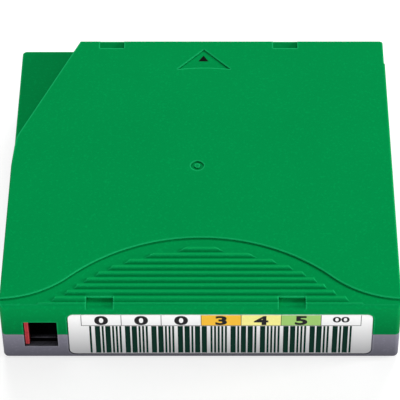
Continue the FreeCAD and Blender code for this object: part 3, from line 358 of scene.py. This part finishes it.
finishes = {
    "upper_shell": shellPlastic("greenShell", "green", caseLook, caseLook["greenSpecular"],
                                caseLook["greenSheen"]),
    "lower_shell": shellPlastic("greyShell", "grey", caseLook, greySpecular),
    "door": shellPlastic("greyDoor", "grey", caseLook, greySpecular),
    "write_protect_slider": shellPlastic("redSlider", "red", caseLook, greySpecular),
    "reel_hub": mouldedPlastic("hubPlastic", (0.46, 0.47, 0.48), roughness=0.4, speckle=0.1),
    "reel_upper_flange": mouldedPlastic("flangePlastic", (0.5, 0.52, 0.55), roughness=0.3, speckle=0.05),
    "brake_button": mouldedPlastic("brakePlastic", (0.66, 0.66, 0.62), speckle=0.1),
    "release_pad": mouldedPlastic("padPlastic", (0.03, 0.03, 0.032), roughness=0.35, speckle=0.1),
    "leader_pin_clip": mouldedPlastic("clipPlastic", (0.2, 0.2, 0.21), speckle=0.1),
    "memory_board": mouldedPlastic("boardResin", (0.01, 0.09, 0.035), roughness=0.3, speckle=0.3),
    "memory_chip": mouldedPlastic("chipResin", (0.015, 0.015, 0.016), speckle=0.3),
    "reel_plate": drawnMetal("stampedSteel", (0.56, 0.55, 0.53)),
    "leader_pin": drawnMetal("turnedSteel", (0.6, 0.6, 0.6)),
    "leader_pin_spring": drawnMetal("springSteel", (0.52, 0.5, 0.47)),
    "brake_spring": drawnMetal("springWire", (0.5, 0.5, 0.5)),
    "door_spring": drawnMetal("fineSpringWire", (0.5, 0.5, 0.5)),
    "case_screws": drawnMetal("screwSteel", (0.4, 0.4, 0.41), roughness=0.35),
    "tape_pack": woundFilm("woundTape", reelCentre),
    "tape_lead": woundFilm("tapeFilm", reelCentre),
    "barcode_label": labelPaper("labelPaper", paperLook),
}
for name, material in finishes.items():
    setFinish(name, material)
print("finishes set")


# geometry node helpers

def newGeometryTree(name, inputs):
    tree = bpy.data.node_groups.new(name, "GeometryNodeTree")
    tree.interface.new_socket("Geometry", in_out="INPUT", socket_type="NodeSocketGeometry")
    sockets = {}
    for label, kind in inputs:
        sockets[label] = tree.interface.new_socket(label, in_out="INPUT", socket_type=kind).identifier
    tree.interface.new_socket("Geometry", in_out="OUTPUT", socket_type="NodeSocketGeometry")
    return tree, tree.nodes.new("NodeGroupInput"), tree.nodes.new("NodeGroupOutput"), sockets


def finishTree(tree, geometry, start, end):
    realize = addNode(tree, "GeometryNodeRealizeInstances")
    paint = addNode(tree, "GeometryNodeSetMaterial")
    link(tree, (geometry, realize.inputs["Geometry"]),
         (realize.outputs["Geometry"], paint.inputs["Geometry"]),
         (start.outputs["Finish"], paint.inputs["Material"]),
         (paint.outputs["Geometry"], end.inputs["Geometry"]))


def linkedObject(name, data):
    made = bpy.data.objects.new(name, data)
    bpy.context.collection.objects.link(made)
    return made


def pointHolder(name, corners=()):
    mesh = bpy.data.meshes.new(name)
    mesh.from_pydata(list(corners), [], [])
    return linkedObject(name, mesh)


def plainMesh(holder, tree, sockets, settings):
    # run a tree on an object once and keep only the mesh it gives
    modifier = holder.modifiers.new(tree.name, "NODES")
    modifier.node_group = tree
    for label, setting in settings.items():
        modifier[sockets[label]] = setting
    graph = bpy.context.evaluated_depsgraph_get()
    graph.update()
    mesh = bpy.data.meshes.new_from_object(holder.evaluated_get(graph))
    mesh.name = holder.name
    holder.modifiers.remove(modifier)
    bpy.data.objects.remove(holder)
    return mesh


def casePiece(name, mesh):
    # a piece that rides on the case
    piece = linkedObject(name, mesh)
    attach(piece, "case")
    return piece


# flat print on the label and the roof

inkLook = {"layer": 0.015, "speckle": 0.15, "grain": 4000.0, "bump": 0.03, "specular": 0.04,
           "roofSpecular": 0.03, "bars": (0.0005, 0.02, 0.012), "digit": (0.02, 0.018, 0.02),
           "line": (0.03, 0.03, 0.035), "arrow": (0.004, 0.006, 0.004)}


def ink(name, colour, specular=inkLook["specular"]):
    return mouldedPlastic(name, colour, specular=specular, speckle=inkLook["speckle"],
                          grain=inkLook["grain"], bump=inkLook["bump"])


def onLabel(layer):
    # places print in millimetres from the label's lower left corner
    depth = labelFace - layer * inkLook["layer"] * mm
    return lambda across, up: (labelLeft + across * mm, depth, labelLow + up * mm)


def rectangle(left, right, low, high):
    return [(left, low), (right, low), (right, high), (left, high)]


def printPiece(name, faces, material, place):
    # faces are lists of (across, up) corners; place(across, up) gives a corner's position
    mesh = bpy.data.meshes.new(name)
    corners, polygons = [], []
    for face in faces:
        polygons.append(list(range(len(corners), len(corners) + len(face))))
        corners += [place(*corner) for corner in face]
    mesh.from_pydata(corners, [], polygons)
    mesh.materials.append(material)
    return casePiece(name, mesh)


cellLook = {"first": 3.5, "pitch": 10.52, "count": 7, "low": 11.4, "top": 15.55, "line": 0.16,
            "colours": {3: (0.93, 0.53, 0.05), 4: (0.93, 0.87, 0.3), 5: (0.35, 0.6, 0.17)}}
cellEdges = [cellLook["first"] + cellLook["pitch"] * step for step in range(cellLook["count"] + 1)]


def makeCells(look, edges):
    low, top, half = look["low"], look["top"], look["line"] / 2
    for index, colour in look["colours"].items():
        cell = rectangle(edges[index], edges[index + 1], low, top)
        printPiece(f"labelCell{index}", [cell], ink(f"cellInk{index}", colour), onLabel(1))
    rules = [rectangle(edge - half, edge + half, low, top) for edge in edges]
    rules.append(rectangle(edges[0] - half, edges[-1] + half, low - half, low + half))
    printPiece("labelRules", rules, ink("ruleInk", inkLook["line"]), onLabel(2))


digitLook = {"texts": ["0", "0", "0", "3", "4", "5", "00"], "stretch": 1.5,
             "large": {"height": 3.6, "bold": 0.04, "low": 0.25},
             "small": {"height": 2.2, "bold": 0.02, "low": 1.3}}


def digitMesh(text, size, stretch, centre, low):
    curve = bpy.data.curves.new("digits", "FONT")
    curve.body = text
    curve.size = 1.0
    curve.offset = size["bold"]
    curve.align_x = "CENTER"
    holder = linkedObject("digits", curve)
    bpy.context.view_layer.update()
    graph = bpy.context.evaluated_depsgraph_get()
    mesh = bpy.data.meshes.new_from_object(holder.evaluated_get(graph))
    bpy.data.objects.remove(holder)
    acrosses = [vertex.co.x for vertex in mesh.vertices]
    heights = [vertex.co.y for vertex in mesh.vertices]
    middle = (min(acrosses) + max(acrosses)) / 2
    scale = size["height"] / (max(heights) - min(heights))
    place = onLabel(3)
    for vertex, across, height in zip(mesh.vertices, acrosses, heights):
        vertex.co = place((across - middle) * scale * stretch + centre,
                          (height - min(heights)) * scale + low + size["low"])
    return mesh


def makeDigits(look, edges, low):
    material = ink("digitInk", inkLook["digit"])
    for index, text in enumerate(look["texts"]):
        size = look["small"] if len(text) > 1 else look["large"]
        centre = (edges[index] + edges[index + 1]) / 2
        mesh = digitMesh(text, size, look["stretch"], centre, low)
        mesh.materials.clear()
        mesh.materials.append(material)
        casePiece(f"labelDigit{index}", mesh)


barLook = {"left": 5.5, "right": 74.8, "low": 0.3, "top": 11.2, "code": "00034500",
           "bar": {"n": 1.35, "w": 3.4}, "gap": {"n": 1.0, "w": 2.3},
           "bars": {"0": "nnwwn", "3": "wwnnn", "4": "nnwnw", "5": "wnwnn", "edge": "nwnwn"},
           "gaps": {"digit": "nwnnn", "edge": "wnnnn"}}


def barWidths(look):
    # (width, is dark) along the row: two wide bars of five and one wide gap mark each digit,
    # and the same mark opens and closes the row
    row = []
    for mark in ["edge", *look["code"], "edge"]:
        gaps = look["gaps"].get(mark, look["gaps"]["digit"])
        for bar, gap in zip(look["bars"][mark], gaps):
            row += [(look["bar"][bar], True), (look["gap"][gap], False)]
    return row[:-1]


def makeBarTree():
    # one upright bar on each point, as wide as the point says
    tree, start, end, sockets = newGeometryTree("barTree", [
        ("Height", "NodeSocketFloat"), ("Finish", "NodeSocketMaterial")])
    bar = setInput(addNode(tree, "GeometryNodeMeshGrid"), Vertices_X=2, Vertices_Y=2)
    width = addNode(tree, "GeometryNodeInputNamedAttribute", data_type="FLOAT")
    setInput(width, Name="barWidth")
    size = setInput(addNode(tree, "ShaderNodeCombineXYZ"), Z=1)
    place = setInput(addNode(tree, "GeometryNodeInstanceOnPoints"), Rotation=(math.radians(90), 0, 0))
    link(tree, (start.outputs["Geometry"], place.inputs["Points"]),
         (bar.outputs["Mesh"], place.inputs["Instance"]),
         (width.outputs["Attribute"], size.inputs["X"]),
         (start.outputs["Height"], size.inputs["Y"]), (size.outputs[0], place.inputs["Scale"]))
    finishTree(tree, place.outputs["Instances"], start, end)
    return tree, sockets


def makeBars(look):
    row = barWidths(look)
    unit = (look["right"] - look["left"]) / sum(width for width, dark in row)
    place = onLabel(1)
    at, corners, widths = look["left"], [], []
    for width, dark in row:
        if dark:
            corners.append(place(at + width * unit / 2, (look["low"] + look["top"]) / 2))
            widths.append(width * unit * mm)
        at += width * unit
    holder = pointHolder("labelBars", corners)
    holder.data.attributes.new("barWidth", "FLOAT", "POINT").data.foreach_set("value", widths)
    tree, sockets = makeBarTree()
    mesh = plainMesh(holder, tree, sockets, {
        "Height": (look["top"] - look["low"]) * mm, "Finish": ink("barInk", inkLook["bars"])})
    casePiece("labelBars", mesh)


makeCells(cellLook, cellEdges)
makeDigits(digitLook, cellEdges, cellLook["low"])
makeBars(barLook)
print("label printed")

# in millimetres, measured from the roof's back edge and down from its top
arrowLook = {"centre": 0.25, "half": 1.45, "low": -8.5, "tip": -6.05, "sink": 0.3}


def makeArrow(look):
    centre, half, low = look["centre"], look["half"], look["low"]
    back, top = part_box("upper_shell")[1][1:]
    height = top + (inkLook["layer"] - look["sink"]) * mm
    printPiece("arrowPrint", [[(centre - half, low), (centre + half, low), (centre, look["tip"])]],
               ink("roofInk", inkLook["arrow"], inkLook["roofSpecular"]),
               lambda across, along: (across * mm, back + along * mm, height))


makeArrow(arrowLook)
print("arrow printed")


# round coils in place of the springs

def makeCoilTree():
    # a wire along a rising circle whose turns close up towards both ends
    tree, start, end, sockets = newGeometryTree("coilTree", [
        ("Turns", "NodeSocketFloat"), ("Steps", "NodeSocketInt"), ("Sides", "NodeSocketInt"),
        ("Radius", "NodeSocketFloat"), ("Wire", "NodeSocketFloat"), ("Length", "NodeSocketFloat"),
        ("Closing", "NodeSocketFloat"), ("Finish", "NodeSocketMaterial")])
    value = start.outputs
    total = maths(tree, "ROUND", maths(tree, "MULTIPLY", value["Turns"], value["Steps"]))
    line = addNode(tree, "GeometryNodeMeshLine")
    index = addNode(tree, "GeometryNodeInputIndex")
    share = maths(tree, "DIVIDE", index.outputs[0], total)
    angle = maths(tree, "MULTIPLY", maths(tree, "MULTIPLY", share, value["Turns"]), math.tau)
    lag = maths(tree, "SINE", maths(tree, "MULTIPLY", share, math.tau))
    lag = maths(tree, "MULTIPLY", lag, maths(tree, "DIVIDE", value["Closing"], math.tau))
    climb = maths(tree, "MULTIPLY", maths(tree, "SUBTRACT", share, lag),
                  maths(tree, "SUBTRACT", value["Length"], value["Wire"]))
    halfWire = maths(tree, "DIVIDE", value["Wire"], 2)
    spot = addNode(tree, "ShaderNodeCombineXYZ")
    bend = addNode(tree, "GeometryNodeSetPosition")
    path = addNode(tree, "GeometryNodeMeshToCurve")
    profile = addNode(tree, "GeometryNodeCurvePrimitiveCircle")
    tube = setInput(addNode(tree, "GeometryNodeCurveToMesh"), Fill_Caps=True)
    link(tree, (maths(tree, "ADD", total, 1), line.inputs["Count"]),
         (maths(tree, "MULTIPLY", maths(tree, "COSINE", angle), value["Radius"]), spot.inputs["X"]),
         (maths(tree, "MULTIPLY", maths(tree, "SINE", angle), value["Radius"]), spot.inputs["Y"]),
         (maths(tree, "ADD", climb, halfWire), spot.inputs["Z"]),
         (line.outputs["Mesh"], bend.inputs["Geometry"]), (spot.outputs[0], bend.inputs["Position"]),
         (bend.outputs["Geometry"], path.inputs["Mesh"]),
         (value["Sides"], profile.inputs["Resolution"]), (halfWire, profile.inputs["Radius"]),
         (path.outputs["Curve"], tube.inputs["Curve"]),
         (profile.outputs["Curve"], tube.inputs["Profile Curve"]))
    finishTree(tree, tube.outputs["Mesh"], start, end)
    return tree, sockets


coilTree, coilSockets = makeCoilTree()


def coilMesh(name, look, length, finish):
    mesh = plainMesh(pointHolder(name), coilTree, coilSockets, {
        "Turns": float(look["turns"]), "Steps": look["steps"], "Sides": look["sides"],
        "Radius": look["radius"] * mm, "Wire": look["wire"] * mm, "Length": length,
        "Closing": look["closing"], "Finish": finish})
    for polygon in mesh.polygons:
        polygon.use_smooth = True
    return mesh


def springPiece(name, node, look, length, turned, at):
    # a round coil in place of the node's spring
    mesh = coilMesh(name, look, length, finishes[node])
    mesh.transform(Matrix.Translation(at) @ turned)
    piece = casePiece(name, mesh)
    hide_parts(node)
    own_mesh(piece)


brakeLook = {"turns": 4.5, "radius": 7.4, "wire": 0.7, "closing": 0.55, "steps": 32, "sides": 10,
             "stroke": 1.5}
brakeLow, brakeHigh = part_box("brake_spring")
springPiece("brakeCoil", "brake_spring", brakeLook, brakeHigh[2] - brakeLow[2], Matrix(),
            (reelCentre, 0, brakeLow[2]))

doorLook = {"turns": 20, "radius": 0.95, "wire": 0.24, "closing": 0.55, "steps": 18, "sides": 8,
            "stroke": 15.5}
doorLow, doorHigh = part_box("door_spring")
doorSeat = ((doorLow[0] + doorHigh[0]) / 2, doorLow[1], (doorLow[2] + doorHigh[2]) / 2)
springPiece("doorCoil", "door_spring", doorLook, doorHigh[1] - doorLow[1],
            Matrix.Rotation(math.radians(-90), 4, "X"), doorSeat)
print("springs wound")


# camera, floor and light

cameraLook = {"elevation": 46.24, "distance": 0.637, "lens": 204.8, "sensor": 36,
              "aim": (0.00607, 0, 0.010), "shift": (-0.059, -0.0143), "farthest": 20}


def aimed(spot, target):
    # the turn that points a camera or a lamp from one place at another
    return (target - Vector(spot)).to_track_quat("-Z", "Y").to_euler()


def makeCamera(look):
    rise = math.radians(look["elevation"])
    target = Vector(look["aim"])
    camera = bpy.data.cameras.new("camera")
    camera.lens = look["lens"]
    camera.sensor_width = look["sensor"]
    camera.clip_end = look["farthest"]
    camera.shift_x, camera.shift_y = look["shift"]
    holder = linkedObject("camera", camera)
    holder.location = target + look["distance"] * Vector((0, -math.cos(rise), math.sin(rise)))
    holder.rotation_euler = aimed(holder.location, target)
    bpy.context.scene.camera = holder


def seenDirectly(tree):
    # 1 for rays from the camera and for those that a mirror or glass sends on
    path = addNode(tree, "ShaderNodeLightPath").outputs
    mirrored = maths(tree, "MAXIMUM", path["Is Camera Ray"], path["Is Glossy Ray"])
    return maths(tree, "MAXIMUM", mirrored, path["Is Transmission Ray"])


floorLook = {"half": 3.0, "level": -0.00005, "colour": (0.5, 0.5, 0.5), "darker": 0.99, "grain": 40.0,
             "roughness": 0.9, "glow": 0.68}


def floorPaper(name, look):
    # pale paper that comes up white where it is seen and keeps a soft shadow; clear from below
    material, tree, shader = newMaterial(name, Roughness=look["roughness"],
                                         Emission_Color=(1, 1, 1, 1))
    grain = noise(tree, objectPlace(tree), Scale=look["grain"], Detail=3.0).outputs["Fac"]
    dark = [part * look["darker"] for part in look["colour"]]
    surface = addNode(tree, "ShaderNodeNewGeometry")
    clear = addNode(tree, "ShaderNodeBsdfTransparent")
    sides = addNode(tree, "ShaderNodeMixShader")
    link(tree, (colourRamp(tree, grain, dark, look["colour"]), shader.inputs["Base Color"]),
         (maths(tree, "MULTIPLY", seenDirectly(tree), look["glow"]), shader.inputs["Emission Strength"]),
         (surface.outputs["Backfacing"], sides.inputs["Fac"]),
         (shader.outputs["BSDF"], sides.inputs[1]), (clear.outputs["BSDF"], sides.inputs[2]),
         (sides.outputs["Shader"], tree.nodes["Material Output"].inputs["Surface"]))
    return material


def makeFloor(look):
    half, level = look["half"], look["level"]
    mesh = bpy.data.meshes.new("floor")
    corners = [(x, y, level) for x, y in rectangle(-half, half, -half, half)]
    mesh.from_pydata(corners, [], [(0, 1, 2, 3)])
    mesh.materials.append(floorPaper("floorPaper", look))
    floor = linkedObject("floor", mesh)


def makeWorld(level):
    # white where it is seen, and plain dim light for everything else
    world = bpy.data.worlds.new("studio")
    world.use_nodes = True
    tree = world.node_tree
    plain = setInput(tree.nodes["Background"], Color=(1, 1, 1, 1), Strength=level)
    white = setInput(addNode(tree, "ShaderNodeBackground"), Strength=1.0)
    mix = addNode(tree, "ShaderNodeMixShader")
    link(tree, (seenDirectly(tree), mix.inputs["Fac"]), (plain.outputs["Background"], mix.inputs[1]),
         (white.outputs["Background"], mix.inputs[2]),
         (mix.outputs["Shader"], tree.nodes["World Output"].inputs["Surface"]))
    bpy.context.scene.world = world


worldLevel = 0.27
lampLooks = {
    "rearBox": {"at": (0.2, 2.6, 1.6), "size": (2.0, 0.6), "power": 90.0, "mirrored": False},
    "sideBox": {"at": (1.25, 0.0, 0.36), "size": (0.5, 0.25), "power": 13.0, "mirrored": True},
    "frontFill": {"at": (-0.15, -1.2, 0.14), "size": (0.9, 0.2), "power": 9.0, "mirrored": True},
}


def makeLamp(name, look):
    lamp = bpy.data.lights.new(name, "AREA")
    lamp.shape = "RECTANGLE"
    lamp.size, lamp.size_y = look["size"]
    lamp.energy = look["power"]
    holder = linkedObject(name, lamp)
    holder.location = look["at"]
    holder.rotation_euler = aimed(look["at"], Vector((0, 0, 0)))
    holder.visible_glossy = look["mirrored"]


makeCamera(cameraLook)
makeFloor(floorLook)
makeWorld(worldLevel)
for name, look in lampLooks.items():
    makeLamp(name, look)
bpy.context.scene.view_settings.view_transform = "Standard"
print("camera and light set")
